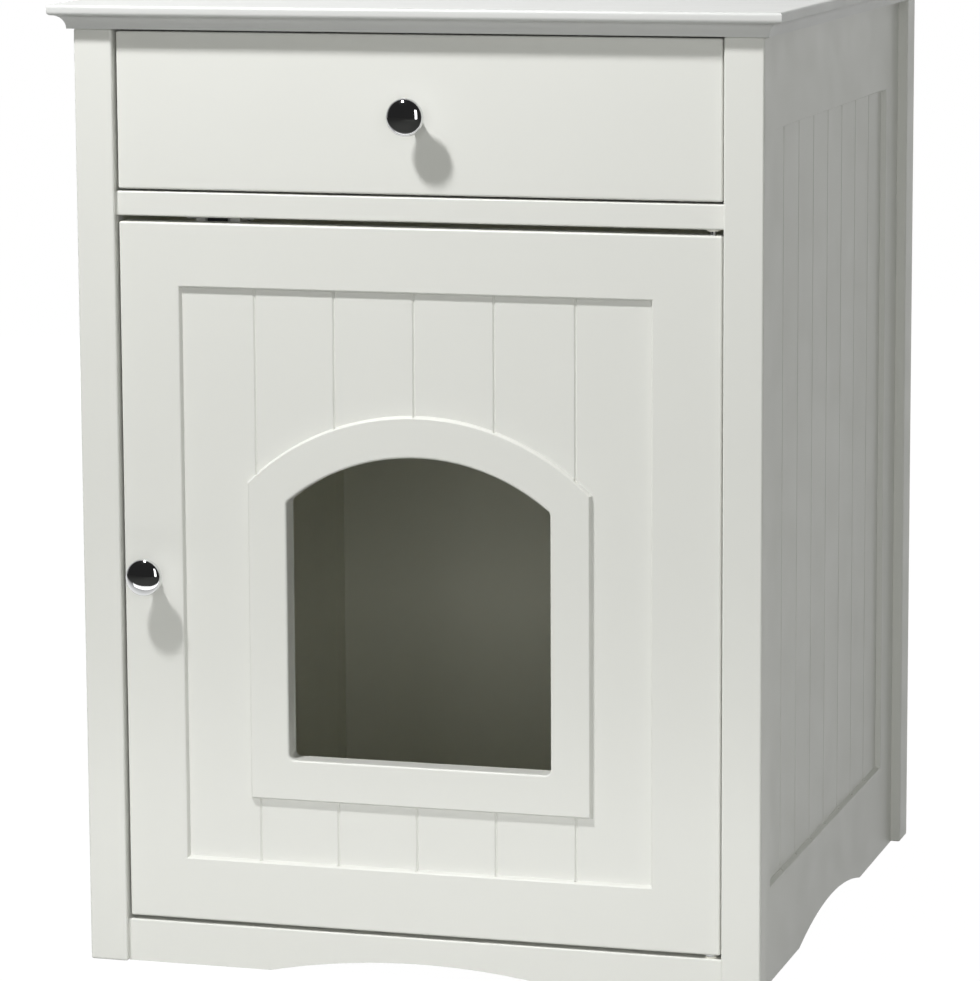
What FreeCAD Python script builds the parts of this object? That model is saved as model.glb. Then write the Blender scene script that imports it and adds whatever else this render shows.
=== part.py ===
import FreeCAD, Part
import math
import os

# Millimetres. While building, x = 0 is the cabinet's middle, y = 0 the front of the posts
# (y grows to the back) and z = 0 the floor. save() moves every piece to the object's origin.

# carcass
CASE_W = 458.0
CASE_D = 490.0
POST_H = 620.0
FRONT_POST_W = 26.0
FRONT_POST_D = 18.0
REAR_POST_W = 22.0
REAR_POST_D = 26.0
POST_EDGE_R = 1.5
FACE_SETBACK = 4.0
PANEL_T = 15.0
PANEL_INSET = 7.0
BOTTOM_T = 15.0
RAIL_T = 16.0
RAIL_D = 60.0
REAR_RAIL_H = 60.0
APRON_H = 28.5
APRON_T = 14.0
SOFT_R = 1.2
BACK_T = 3.0
BACK_LIFT = 12.0
REBATE_D = 5.0
REBATE_W = 7.0
REBATE_PLAY = 0.5

# top board
TOP_T = 16.0
TOP_OVER_SIDE = 13.5
TOP_OVER_FRONT = 13.0
TOP_LIP_H = 7.3
TOP_LIP_R = 2.5
TOP_LIP_FOOT_R = 0.6
TOP_STEP = 1.2

# arched cut-outs at the foot
FRONT_SCALLOP_W = 207.0
FRONT_SCALLOP_H = 11.0
FRONT_SCALLOP_CORNER_R = 4.0
SIDE_SCALLOP_W = 201.0
SIDE_SCALLOP_H = 12.0
SIDE_SCALLOP_Y = 250.5

# routed fields and grooves
SIDE_FIELD_MARGIN = 41.0
SIDE_FIELD_Z0 = 64.0
SIDE_FIELD_Z1 = 558.0
SIDE_FIELD_DEPTH = 3.7
SIDE_PLANKS = 8
FIELD_BEVEL = 1.3
FIELD_ARRIS = 0.45
SURROUND_EDGE_R = 0.7
GROOVE_W = 2.0
GROOVE_DEPTH = 1.0
GROOVE_OVERRUN = 1.1

# drawer front and door
FACE_T = 15.0
FACE_GAP = 1.5
FACE_EDGE_R = 1.5
DRAWER_FRONT_H = 102.0
DOOR_TOP_GAP = 3.8
DOOR_FOOT_GAP = 2.5
DOOR_MARGIN_LEFT = 40.5
DOOR_MARGIN_RIGHT = 45.0
DOOR_MARGIN_ENDS = 41.5
DOOR_FIELD_DEPTH = 3.3
DOOR_GROOVES = 5
DOOR_GROOVE_PITCH = 53.8
DOOR_GROOVE_SHIFT = -2.4

# arched doorway in the door
ARCH_W = 178.0
ARCH_SILL = 112.0
ARCH_APEX = 315.5
ARCH_R = 139.5
ARCH_CORNER_R = 4.0
ARCH_EDGE_R = 1.6
SURROUND_W = 26.0
SURROUND_FOOT = 26.5

# knobs
KNOB_PROFILE = [(3.9, 0.0), (3.7, 4.0), (4.6, 8.0), (7.6, 11.6), (11.0, 14.6), (12.0, 18.0),
                (10.9, 21.6), (7.0, 24.5), (0.0, 25.6)]
KNOB_BORE = 12.0
KNOB_SCREW_R = 2.0
KNOB_SCREW_GRIP = 10.0
DOOR_KNOB_IN = 20.5
DOOR_KNOB_UP = 233.0

# door pivots
PIVOT_IN = 7.0
PIVOT_BACK = 5.0
PIN_R = 2.0
PIN_IN_DOOR = 24.0
PIN_TIP_GAP = 1.0
BUSH_R = 3.0
BUSH_L = 10.0
BUSH_FLANGE_R = 4.0
BUSH_FLANGE_T = 1.2
PIVOT_END_PLAY = 0.3
RUNNING_FIT = 0.05

# magnetic catch
CATCH_IN = 64.0
CATCH_W = 30.0
CATCH_D = 22.0
CATCH_H = 15.0
CATCH_EAR_W = 8.0
CATCH_EAR_T = 3.0
CATCH_GAP = 0.3
POLE_OUT = 0.7
POLE_T = 1.5
MAGNET_W = 14.0
MAGNET_D = 14.0
POLE_H = 11.0
STRIKE_W = 46.0
STRIKE_H = 12.0
STRIKE_T = 1.0
STRIKE_DROP = 0.5
STRIKE_SCREW_X = 19.0

# drawer box
DRAWER_SIDE_T = 12.0
DRAWER_BOX_L = 400.0
DRAWER_BOX_H = 70.0
DRAWER_BACK_T = 12.0
DRAWER_BACK_LOW = 5.0
DRAWER_REAR_LIP = 4.0
DRAWER_BOTTOM_T = 3.0
DRAWER_BOTTOM_UP = 6.0
DRAWER_GROOVE_D = 5.0
DRAWER_GROOVE_PLAY = 0.2
BOX_ABOVE_SLIDE = 6.0

# roller slides
SLIDE_W = 12.5
SLIDE_H = 23.0
SLIDE_T = 1.2
SLIDE_L = 400.0
SLIDE_LIFT = 4.0
SLIDE_FRONT_GAP = 2.0
SLIDE_FLANGE_W = 9.4
SLIDE_DRAWER_GAP = 1.0
SLIDE_DRAWER_L = 395.0
SLIDE_FLANGE_REACH = 8.6
ROLLER_R = 8.5
ROLLER_W = 7.5
ROLLER_CHAMFER = 0.6
ROLLER_GAP = 0.3
ROLLER_END_PLAY = 0.2
ROLLER_SETBACK = 14.0
AXLE_R = 2.5
RIVET_NECK_R = 2.0
RIVET_FLANGE_R = 4.0
RIVET_FLANGE_T = 0.8
RIVET_HEAD_T = 0.6

# joinery
HOLE_PLAY = 0.1
HOLE_END_PLAY = 0.5
DOWEL_R = 4.0
DOWEL_L = 30.0
DOWEL_SHALLOW = 10.0
DOWEL_CHAMFER = 1.0
SMALL_DOWEL_R = 3.0
CAM_SETBACK = 24.0
CAM_R = 7.4
CAM_DEPTH = 12.5
CAM_BOLT_R = 3.4
SMALL_CAM_R = 6.0
SMALL_CAM_DEPTH = 9.5
SMALL_CAM_BOLT_R = 2.4
CAM_BOLT_GRIP = 10.0
CAM_NECK_L = 5.0
CAM_HEAD_L = 2.0
CAM_SLOT_W = 1.6
CAM_SLOT_DEPTH = 2.0
POST_DOWEL_IN = 80.0
RAIL_DOWEL_Y = 48.0
RAIL_CAM_Y = 30.0
APRON_DOWEL_Z = 9.0
APRON_DOWEL_X = 160.0
BOTTOM_DOWEL_Y = (108.0, 382.0)
BOTTOM_CAM_Y = (58.0, 432.0)
TOP_CAM_Y = (98.0, 392.0)
REAR_RAIL_CAM_DROP = 48.0
BACK_SCREW_IN = (62.0, 217.0)
BACK_SCREW_X = (-115.0, 0.0, 115.0)
BACK_SCREW_DROP = 20.0
BACK_SCREW = (14.0, 1.4, 3.0, 1.6)
SLIDE_SCREW_Y = (40.0, 200.0, 360.0)
SLIDE_SCREW_UP = 17.2
SLIDE_SCREW = (13.0, 1.6, 3.0, 0.7)
SHELF_SCREW_IN = 4.0
SHELF_SCREW = (12.0, 1.5, 3.0, 0.8)
BOX_SCREW_UP = (28.0, 52.0)
BOX_SCREW = (30.0, 1.8, 3.4, 2.0)
BOX_DOWEL_UP = (21.0, 60.0)
BOX_CAM_UP = 40.0
KNOB_SCREW_HEAD = (4.0, 2.4)
CATCH_SCREW = (13.0, 1.5, 2.6, 1.5)
STRIKE_SCREW = (11.0, 1.4, 2.6, 1.0)

# places that follow from the sizes above
V = FreeCAD.Vector
RIGHT = V(1, 0, 0)
BACK = V(0, 1, 0)
UP = V(0, 0, 1)
SIDES = (-1, 1)
HALF_W = CASE_W / 2
BAY_X = HALF_W - FRONT_POST_W
PANEL_X = HALF_W - PANEL_INSET
PANEL_IN_X = PANEL_X - PANEL_T
PANEL_MID_X = PANEL_X - PANEL_T / 2
PANEL_Y0 = FRONT_POST_D
PANEL_Y1 = CASE_D - REAR_POST_D
BACK_Y = CASE_D - REBATE_D
FACE_X = BAY_X - FACE_GAP
FACE_Y = FACE_SETBACK
FACE_BACK_Y = FACE_Y + FACE_T
DRAWER_Z1 = POST_H - FACE_GAP
DRAWER_Z0 = DRAWER_Z1 - DRAWER_FRONT_H
RAIL_Z1 = DRAWER_Z0 - FACE_GAP
RAIL_Z0 = RAIL_Z1 - RAIL_T
RAIL_MID_Z = RAIL_Z0 + RAIL_T / 2
DOOR_Z1 = RAIL_Z0 - DOOR_TOP_GAP
DOOR_Z0 = APRON_H + DOOR_FOOT_GAP
BOTTOM_Z0 = APRON_H - BOTTOM_T
BOTTOM_MID_Z = APRON_H - BOTTOM_T / 2
REAR_RAIL_Y = BACK_Y - RAIL_T
REAR_RAIL_MID_Y = BACK_Y - RAIL_T / 2
FIELD_X0 = -FACE_X + DOOR_MARGIN_LEFT
FIELD_X1 = FACE_X - DOOR_MARGIN_RIGHT
FIELD_Z0 = DOOR_Z0 + DOOR_MARGIN_ENDS
FIELD_Z1 = DOOR_Z1 - DOOR_MARGIN_ENDS
ARCH_CENTRE_Z = DOOR_Z0 + ARCH_APEX - ARCH_R
KNOB_L = KNOB_PROFILE[-1][1]
DRAWER_KNOB = V(0, FACE_Y, (DRAWER_Z0 + DRAWER_Z1) / 2)
DOOR_KNOB = V(-FACE_X + DOOR_KNOB_IN, FACE_Y, DOOR_Z0 + DOOR_KNOB_UP)
PIVOT_X = FACE_X - PIVOT_IN
PIVOT_Y = FACE_Y + PIVOT_BACK
CATCH_X = -BAY_X + CATCH_IN
CATCH_Y = FACE_BACK_Y + STRIKE_T + CATCH_GAP + POLE_OUT
CATCH_Z0 = RAIL_Z0 - CATCH_H
CATCH_MID_Z = RAIL_Z0 - CATCH_H / 2
STRIKE_Z1 = DOOR_Z1 - FACE_EDGE_R - STRIKE_DROP
BOX_X = BAY_X - SLIDE_W
BOX_IN_X = BOX_X - DRAWER_SIDE_T
BOX_MID_X = BOX_X - DRAWER_SIDE_T / 2
BOX_Y1 = FACE_BACK_Y + DRAWER_BOX_L
BOX_BACK_Y = BOX_Y1 - DRAWER_REAR_LIP - DRAWER_BACK_T
SLIDE_Z0 = RAIL_Z1 + SLIDE_LIFT
SLIDE_Z1 = SLIDE_Z0 + SLIDE_H
SLIDE_Y0 = FACE_BACK_Y + SLIDE_FRONT_GAP
SLIDE_Y1 = SLIDE_Y0 + SLIDE_L
ROLLER_Z = SLIDE_Z0 + SLIDE_T + ROLLER_GAP + ROLLER_R
TRACK_Z = ROLLER_Z + ROLLER_R + ROLLER_GAP
BOX_Z0 = SLIDE_Z0 + BOX_ABOVE_SLIDE
BOX_Z1 = BOX_Z0 + DRAWER_BOX_H
BOX_BOTTOM_Z = BOX_Z0 + DRAWER_BOTTOM_UP
CABINET_ROLLER_Y = SLIDE_Y0 + ROLLER_SETBACK
SLIDE_DRAWER_Y0 = FACE_BACK_Y + SLIDE_DRAWER_GAP
SLIDE_DRAWER_Y1 = SLIDE_DRAWER_Y0 + SLIDE_DRAWER_L
DRAWER_ROLLER_Y = SLIDE_DRAWER_Y1 - ROLLER_SETBACK
Y_MIDDLE = (FACE_Y - KNOB_L + CASE_D + TOP_OVER_FRONT) / 2


def box(x0, x1, y0, y1, z0, z1):
    return Part.makeBox(x1 - x0, y1 - y0, z1 - z0, V(x0, y0, z0))


def mirrored(shape):
    return shape.mirror(V(0, 0, 0), RIGHT)


def rod(radius, start, direction, length):
    return Part.makeCylinder(radius, length, start, direction)


def turned(profile, start, direction):
    """Solid of revolution from (distance along the axis, radius) pairs."""
    points = [V(0, 0, profile[0][0])]
    points += [V(radius, 0, along) for along, radius in profile]
    points += [V(0, 0, profile[-1][0]), points[0]]
    solid = Part.Face(Part.makePolygon(points)).revolve(V(0, 0, 0), UP, 360)
    solid.Placement = FreeCAD.Placement(start, FreeCAD.Rotation(UP, direction))
    return solid


def softened(shape, radius, wanted):
    """Fillet the edges whose bounding box passes the test."""
    edges = [edge for edge in shape.Edges if wanted(edge.BoundBox)]
    return shape.makeFillet(radius, edges)


def drilled(shape, cutters):
    """Cut away the cutters that reach the shape."""
    near = [cutter for cutter in cutters if shape.BoundBox.intersect(cutter.BoundBox)]
    return shape.cut(near) if near else shape


def save(name, shapes):
    group = Part.makeCompound(shapes) if isinstance(shapes, list) else shapes
    group.translated(V(0, -Y_MIDDLE, 0)).exportStep("parts/" + name + ".step")


# dowels, cam fittings and screws: each joint gives its pieces and the holes they need

def dowel(point, direction, radius):
    """A dowel across the joint face at point, its short end pointing along direction."""
    start = point - direction * (DOWEL_L - DOWEL_SHALLOW)
    tip = radius - DOWEL_CHAMFER
    profile = [(0, tip), (DOWEL_CHAMFER, radius), (DOWEL_L - DOWEL_CHAMFER, radius), (DOWEL_L, tip)]
    hole = rod(radius + HOLE_PLAY, start - direction * HOLE_END_PLAY, direction,
               DOWEL_L + 2 * HOLE_END_PLAY)
    return turned(profile, start, direction), hole


def cam_fitting(point, inward, facing, half_t, cam_r, cam_depth, bolt_r):
    """Cam in the board that ends at point, its bolt screwed into the board beyond."""
    neck_r = bolt_r * 0.6
    thread_r = bolt_r * 0.75
    head_end = CAM_SETBACK + CAM_HEAD_L
    neck_start = head_end - CAM_HEAD_L - CAM_NECK_L
    profile = [(-CAM_BOLT_GRIP, thread_r), (0, thread_r), (0, bolt_r), (neck_start, bolt_r),
               (neck_start, neck_r), (head_end - CAM_HEAD_L, neck_r),
               (head_end - CAM_HEAD_L, bolt_r), (head_end, bolt_r)]
    bolt = turned(profile, point, inward)
    face = point + inward * CAM_SETBACK + facing * half_t
    cam = rod(cam_r, face, facing * -1, cam_depth)
    bore = rod(bolt_r + HOLE_PLAY, point, inward, head_end + HOLE_END_PLAY)
    across = inward.cross(facing)
    slot = Part.makeBox(1.4 * cam_r, CAM_SLOT_W, CAM_SLOT_DEPTH)
    slot.translate(V(-0.7 * cam_r, -CAM_SLOT_W / 2, -CAM_SLOT_DEPTH))
    slot.Placement = FreeCAD.Placement(face, FreeCAD.Rotation(inward, across, facing, "ZXY")) \
        .multiply(slot.Placement)
    cam = cam.cut([bore, slot])
    grip = rod(thread_r + HOLE_PLAY, point, inward * -1, CAM_BOLT_GRIP + HOLE_END_PLAY)
    seat = rod(cam_r + HOLE_PLAY, face, facing * -1, cam_depth)
    return cam, bolt, [bore, grip, seat]


def screw(seat, direction, length, radius, head_r, head_t):
    """A screw whose head rests on the seat point, and its hole."""
    profile = [(-head_t, head_r * 0.7), (-head_t * 0.5, head_r), (0, head_r), (0, radius),
               (length - radius, radius), (length, radius * 0.4)]
    hole = rod(radius + HOLE_PLAY, seat, direction, length + HOLE_END_PLAY)
    sink = rod(head_r + HOLE_PLAY, seat, direction * -1, head_t + HOLE_END_PLAY)
    return turned(profile, seat, direction), [hole, sink]


def carcass_dowels():
    places = []
    for side in SIDES:
        out = RIGHT * side
        places.append((V(side * (HALF_W - FRONT_POST_W / 2), FRONT_POST_D / 2, POST_H), UP))
        places.append((V(side * (HALF_W - REAR_POST_W / 2), CASE_D - REAR_POST_D / 2, POST_H), UP))
        for z in (POST_DOWEL_IN, POST_H / 2, POST_H - POST_DOWEL_IN):
            places.append((V(side * PANEL_MID_X, PANEL_Y0, z), BACK * -1))
            places.append((V(side * PANEL_MID_X, PANEL_Y1, z), BACK))
        places.append((V(side * PANEL_IN_X, FACE_Y + RAIL_DOWEL_Y, RAIL_MID_Z), out))
        places.append((V(side * BAY_X, FACE_Y + APRON_T / 2, APRON_DOWEL_Z), out))
        places.append((V(side * APRON_DOWEL_X, FACE_Y + APRON_T, BOTTOM_MID_Z), BACK * -1))
        for y in BOTTOM_DOWEL_Y:
            places.append((V(side * PANEL_IN_X, y, BOTTOM_MID_Z), out))
        places.append((V(side * PANEL_IN_X, REAR_RAIL_MID_Y, POST_H - REAR_RAIL_H / 2), out))
    return [dowel(point, direction, DOWEL_R) for point, direction in places]


def carcass_cams():
    fittings = []
    for side in SIDES:
        inward = RIGHT * -side
        for y in TOP_CAM_Y:
            fittings.append((V(side * PANEL_MID_X, y, POST_H), UP * -1, inward, PANEL_T / 2))
        for y in BOTTOM_CAM_Y:
            fittings.append((V(side * PANEL_IN_X, y, BOTTOM_MID_Z), inward, UP * -1, BOTTOM_T / 2))
        fittings.append((V(side * PANEL_IN_X, FACE_Y + RAIL_CAM_Y, RAIL_MID_Z), inward, UP * -1,
                         RAIL_T / 2))
        fittings.append((V(side * PANEL_IN_X, REAR_RAIL_MID_Y, POST_H - REAR_RAIL_CAM_DROP), inward,
                         BACK * -1, RAIL_T / 2))
    return [cam_fitting(*place, CAM_R, CAM_DEPTH, CAM_BOLT_R) for place in fittings]


def back_screws():
    seats = []
    for side in SIDES:
        for rise in BACK_SCREW_IN:
            seats.append((side * (PANEL_IN_X + REBATE_W / 2), rise))
            seats.append((side * (PANEL_IN_X + REBATE_W / 2), POST_H - rise))
    for x in BACK_SCREW_X:
        seats.append((x, POST_H - BACK_SCREW_DROP))
        seats.append((x, BOTTOM_MID_Z))
    return [screw(V(x, BACK_Y + BACK_T, z), BACK * -1, *BACK_SCREW) for x, z in seats]


def slide_cabinet_screws():
    made = []
    for side in SIDES:
        for y in SLIDE_SCREW_Y:
            seat = V(side * (BAY_X - SLIDE_T), SLIDE_Y0 + y, SLIDE_Z0 + SLIDE_SCREW_UP)
            made.append(screw(seat, RIGHT * side, *SLIDE_SCREW))
    return made


def slide_drawer_screws():
    made = []
    for side in SIDES:
        for y in SLIDE_SCREW_Y:
            seat = V(side * (BOX_X - SHELF_SCREW_IN), SLIDE_DRAWER_Y0 + y, BOX_Z0 - SLIDE_T)
            made.append(screw(seat, UP, *SHELF_SCREW))
    return made


def drawer_screws():
    """Countersunk screws through the sides into the drawer back."""
    made = []
    for side in SIDES:
        for up in BOX_SCREW_UP:
            seat = V(side * (BOX_X - BOX_SCREW[-1]), BOX_BACK_Y + DRAWER_BACK_T / 2, BOX_Z0 + up)
            made.append(screw(seat, RIGHT * -side, *BOX_SCREW))
    return made


def drawer_dowels():
    made = []
    for side in SIDES:
        for up in BOX_DOWEL_UP:
            point = V(side * BOX_MID_X, FACE_BACK_Y, BOX_Z0 + up)
            made.append(dowel(point, BACK * -1, SMALL_DOWEL_R))
    return made


def drawer_cams():
    made = []
    for side in SIDES:
        point = V(side * BOX_MID_X, FACE_BACK_Y, BOX_Z0 + BOX_CAM_UP)
        made.append(cam_fitting(point, BACK, RIGHT * -side, DRAWER_SIDE_T / 2, SMALL_CAM_R,
                                SMALL_CAM_DEPTH, SMALL_CAM_BOLT_R))
    return made


def knob_screw(place):
    return screw(place + BACK * FACE_T, BACK * -1, FACE_T + KNOB_SCREW_GRIP, KNOB_SCREW_R,
                 *KNOB_SCREW_HEAD)


def catch_screws():
    seats = [V(CATCH_X + side * STRIKE_SCREW_X, CATCH_Y + CATCH_D / 2, RAIL_Z0 - CATCH_EAR_T)
             for side in SIDES]
    return [screw(seat, UP, *CATCH_SCREW) for seat in seats]


def strike_screws():
    seats = [V(CATCH_X + side * STRIKE_SCREW_X, FACE_BACK_Y + STRIKE_T, STRIKE_Z1 - STRIKE_H / 2)
             for side in SIDES]
    return [screw(seat, BACK * -1, *STRIKE_SCREW) for seat in seats]


# carcass pieces; left-hand pieces are made and mirrored

def moulded_section(half_span, length):
    """Board along y, with the lip and cove on its two long edges."""
    z0 = POST_H
    z1 = POST_H + TOP_T
    cove_r = TOP_T - TOP_LIP_H
    lip_z = z0 + cove_r
    edge_x = half_span
    cove_x = edge_x - TOP_STEP
    slant = math.sqrt(0.5)
    low_r = TOP_LIP_FOOT_R
    edges = [
        Part.Arc(V(cove_x - cove_r, 0, z0), V(cove_x - cove_r * slant, 0, z0 + cove_r * slant),
                 V(cove_x, 0, lip_z)).toShape(),
        Part.makeLine(V(cove_x, 0, lip_z), V(edge_x - low_r, 0, lip_z)),
        Part.Arc(V(edge_x - low_r, 0, lip_z),
                 V(edge_x - low_r + low_r * slant, 0, lip_z + low_r - low_r * slant),
                 V(edge_x, 0, lip_z + low_r)).toShape(),
        Part.makeLine(V(edge_x, 0, lip_z + low_r), V(edge_x, 0, z1 - TOP_LIP_R)),
        Part.Arc(V(edge_x, 0, z1 - TOP_LIP_R),
                 V(edge_x - TOP_LIP_R + TOP_LIP_R * slant, 0, z1 - TOP_LIP_R + TOP_LIP_R * slant),
                 V(edge_x - TOP_LIP_R, 0, z1)).toShape(),
    ]
    edges += [mirrored(edge) for edge in edges]
    edges.append(Part.makeLine(V(edge_x - TOP_LIP_R, 0, z1), V(TOP_LIP_R - edge_x, 0, z1)))
    edges.append(Part.makeLine(V(cove_x - cove_r, 0, z0), V(cove_r - cove_x, 0, z0)))
    wire = Part.Wire(Part.__sortEdges__(edges))
    board = Part.Face(wire).extrude(BACK * length)
    return board.translated(BACK * (-length / 2))


def top_panel():
    width = CASE_W + 2 * TOP_OVER_SIDE
    depth = CASE_D + 2 * TOP_OVER_FRONT
    along = moulded_section(width / 2, depth)
    across = moulded_section(depth / 2, width)
    across.rotate(V(0, 0, 0), UP, 90)
    return along.common(across).translated(V(0, CASE_D / 2, 0))


def front_post():
    post = box(-HALF_W, -BAY_X, 0, FRONT_POST_D, 0, POST_H)
    return post.makeFillet(POST_EDGE_R, post.Edges)


def rear_post():
    inner = -HALF_W + REAR_POST_W
    post = box(-HALF_W, inner, PANEL_Y1, CASE_D, 0, POST_H)
    post = post.makeFillet(POST_EDGE_R, post.Edges)
    return post.cut(box(inner - REBATE_W, inner + 1, BACK_Y, CASE_D + 1, -1, POST_H + 1))


def groove(x, y, z0, z1):
    """Cutter for one V-groove in a field whose floor is at y."""
    half = GROOVE_W / 2
    outline = [V(x - half, y - GROOVE_W, z0), V(x + half, y - GROOVE_W, z0), V(x + half, y, z0),
               V(x, y + GROOVE_DEPTH, z0), V(x - half, y, z0), V(x - half, y - GROOVE_W, z0)]
    return Part.Face(Part.makePolygon(outline)).extrude(UP * (z1 - z0))


def field_pocket(x0, x1, z0, z1, y, depth):
    """Cutter for a routed field with an eased arris and sloping walls, in a face at y."""
    rims = []
    for inset, level in ((-FIELD_ARRIS, y), (FIELD_ARRIS / 2, y + FIELD_ARRIS),
                         (FIELD_BEVEL, y + depth)):
        corners = [V(x0 + inset, level, z0 + inset), V(x1 - inset, level, z0 + inset),
                   V(x1 - inset, level, z1 - inset), V(x0 + inset, level, z1 - inset)]
        rims.append(Part.makePolygon(corners + corners[:1]))
    return Part.makeLoft(rims, True, True)


def scallop(width, height, length):
    """Cutter along y for an arched cut-out rising from z = 0."""
    radius = (width * width / 4 + height * height) / (2 * height)
    return rod(radius, V(0, -length / 2, height - radius), BACK, length)


def side_panel():
    """The grooved face is built looking to the front, then turned to the left."""
    y0 = PANEL_Y0
    y1 = PANEL_Y1
    panel = box(-y1, -y0, 0, PANEL_T, 0, POST_H)
    x0 = -y1 + SIDE_FIELD_MARGIN
    x1 = -y0 - SIDE_FIELD_MARGIN
    pitch = (x1 - x0) / SIDE_PLANKS
    end = FIELD_BEVEL - GROOVE_OVERRUN
    cuts = [groove(x0 + k * pitch, SIDE_FIELD_DEPTH, SIDE_FIELD_Z0 + end, SIDE_FIELD_Z1 - end)
            for k in range(1, SIDE_PLANKS)]
    cuts.append(field_pocket(x0, x1, SIDE_FIELD_Z0, SIDE_FIELD_Z1, 0, SIDE_FIELD_DEPTH))
    cuts.append(scallop(SIDE_SCALLOP_W, SIDE_SCALLOP_H, 4 * PANEL_T).translated(V(-SIDE_SCALLOP_Y, 0, 0)))
    panel = panel.cut(cuts)
    panel.rotate(V(0, 0, 0), UP, -90)
    return panel.translated(V(-PANEL_X, 0, 0))


def on_face(bounds, y):
    return abs(bounds.YMin - y) < 0.01 and abs(bounds.YMax - y) < 0.01


def inside(bounds, x0, x1):
    return bounds.XMin > x0 - 0.01 and bounds.XMax < x1 + 0.01


def back_panel():
    half = PANEL_IN_X + REBATE_W - REBATE_PLAY
    return box(-half, half, BACK_Y, BACK_Y + BACK_T, BACK_LIFT, POST_H - REBATE_PLAY)


def bottom_panel():
    return box(-PANEL_IN_X, PANEL_IN_X, FACE_Y + APRON_T, BACK_Y, BOTTOM_Z0, APRON_H)


def mid_rail():
    front = box(-BAY_X, BAY_X, FACE_Y, PANEL_Y0, RAIL_Z0, RAIL_Z1)
    front = softened(front, SOFT_R, lambda b: on_face(b, FACE_Y) and b.ZLength < 0.1)
    rear = box(-PANEL_IN_X, PANEL_IN_X, PANEL_Y0, FACE_Y + RAIL_D, RAIL_Z0, RAIL_Z1)
    return front.fuse(rear).removeSplitter()


def front_apron():
    board = box(-BAY_X, BAY_X, FACE_Y, FACE_Y + APRON_T, 0, APRON_H)
    board = board.cut(scallop(FRONT_SCALLOP_W, FRONT_SCALLOP_H, 8 * APRON_T))
    half = FRONT_SCALLOP_W / 2
    board = softened(board, FRONT_SCALLOP_CORNER_R,
                     lambda b: b.YLength > 1 and b.ZMax < 0.1 and abs(abs(b.XMin) - half) < 0.1)
    return softened(board, SOFT_R, lambda b: on_face(b, FACE_Y) and b.ZMin > APRON_H - 0.1)


def rear_rail():
    return box(-PANEL_IN_X, PANEL_IN_X, REAR_RAIL_Y, BACK_Y, POST_H - REAR_RAIL_H, POST_H)


def pivot_bush(z, direction):
    """Nylon bush in the board face at z, its flange towards the door."""
    centre = V(PIVOT_X, PIVOT_Y, z)
    body = rod(BUSH_R, centre, direction, BUSH_L)
    flange = rod(BUSH_FLANGE_R, centre - direction * BUSH_FLANGE_T, direction, BUSH_FLANGE_T)
    bore = rod(PIN_R + RUNNING_FIT, centre - direction * BUSH_FLANGE_T, direction,
               BUSH_L + BUSH_FLANGE_T)
    hole = rod(BUSH_R + HOLE_PLAY, centre, direction, BUSH_L + HOLE_END_PLAY)
    return body.fuse(flange).cut(bore).removeSplitter(), hole


def catch_magnet():
    """Magnet block between two steel pole plates."""
    z0 = CATCH_MID_Z - POLE_H / 2
    z1 = z0 + POLE_H
    half = MAGNET_W / 2
    front = CATCH_Y - POLE_OUT
    rear = CATCH_Y + MAGNET_D
    magnet = box(CATCH_X - half, CATCH_X + half, CATCH_Y, rear, z0, z1)
    poles = [box(CATCH_X - half - POLE_T, CATCH_X - half, front, rear, z0, z1),
             box(CATCH_X + half, CATCH_X + half + POLE_T, front, rear, z0, z1)]
    return [magnet] + poles


def catch_housing():
    half = CATCH_W / 2
    body = box(CATCH_X - half, CATCH_X + half, CATCH_Y, CATCH_Y + CATCH_D, CATCH_Z0, RAIL_Z0)
    body = softened(body, SOFT_R, lambda b: b.ZMax < CATCH_Z0 + 0.1)
    ears = box(CATCH_X - half - CATCH_EAR_W, CATCH_X + half + CATCH_EAR_W, CATCH_Y + CATCH_D * 0.2,
               CATCH_Y + CATCH_D * 0.8, RAIL_Z0 - CATCH_EAR_T, RAIL_Z0)
    return body.fuse(ears).cut(catch_magnet()).removeSplitter()


# roller slides, left-hand side

def slide_packing():
    return box(-PANEL_IN_X, -BAY_X, PANEL_Y0, SLIDE_Y1, SLIDE_Z0, SLIDE_Z1)


def slide_cabinet_member():
    x0 = -BAY_X
    reach = x0 + SLIDE_T + SLIDE_FLANGE_W
    channel = box(x0, reach, SLIDE_Y0, SLIDE_Y1, SLIDE_Z0, SLIDE_Z1)
    channel = channel.cut(box(x0 + SLIDE_T, reach + 1, SLIDE_Y0 - 1, SLIDE_Y1 - SLIDE_T,
                              SLIDE_Z0 + SLIDE_T, SLIDE_Z1 - SLIDE_T))
    return channel.cut(rod(RIVET_NECK_R + RUNNING_FIT, V(x0 - 1, CABINET_ROLLER_Y, ROLLER_Z), RIGHT,
                           SLIDE_T + 2))


def slide_drawer_member():
    x1 = -BOX_X
    x0 = x1 - SLIDE_T
    y0 = SLIDE_DRAWER_Y0
    y1 = SLIDE_DRAWER_Y1
    web = box(x0, x1, y0, y1, BOX_Z0 - SLIDE_T, TRACK_Z + SLIDE_T)
    track = box(x0 - SLIDE_FLANGE_REACH, x0, y0, y1, TRACK_Z, TRACK_Z + SLIDE_T)
    shelf = box(x1, -BOX_IN_X, y0, y1, BOX_Z0 - SLIDE_T, BOX_Z0)
    member = web.fuse([track, shelf]).removeSplitter()
    return member.cut(rod(RIVET_NECK_R + RUNNING_FIT, V(x0 - 1, DRAWER_ROLLER_Y, ROLLER_Z), RIGHT,
                          SLIDE_T + 2))


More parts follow.
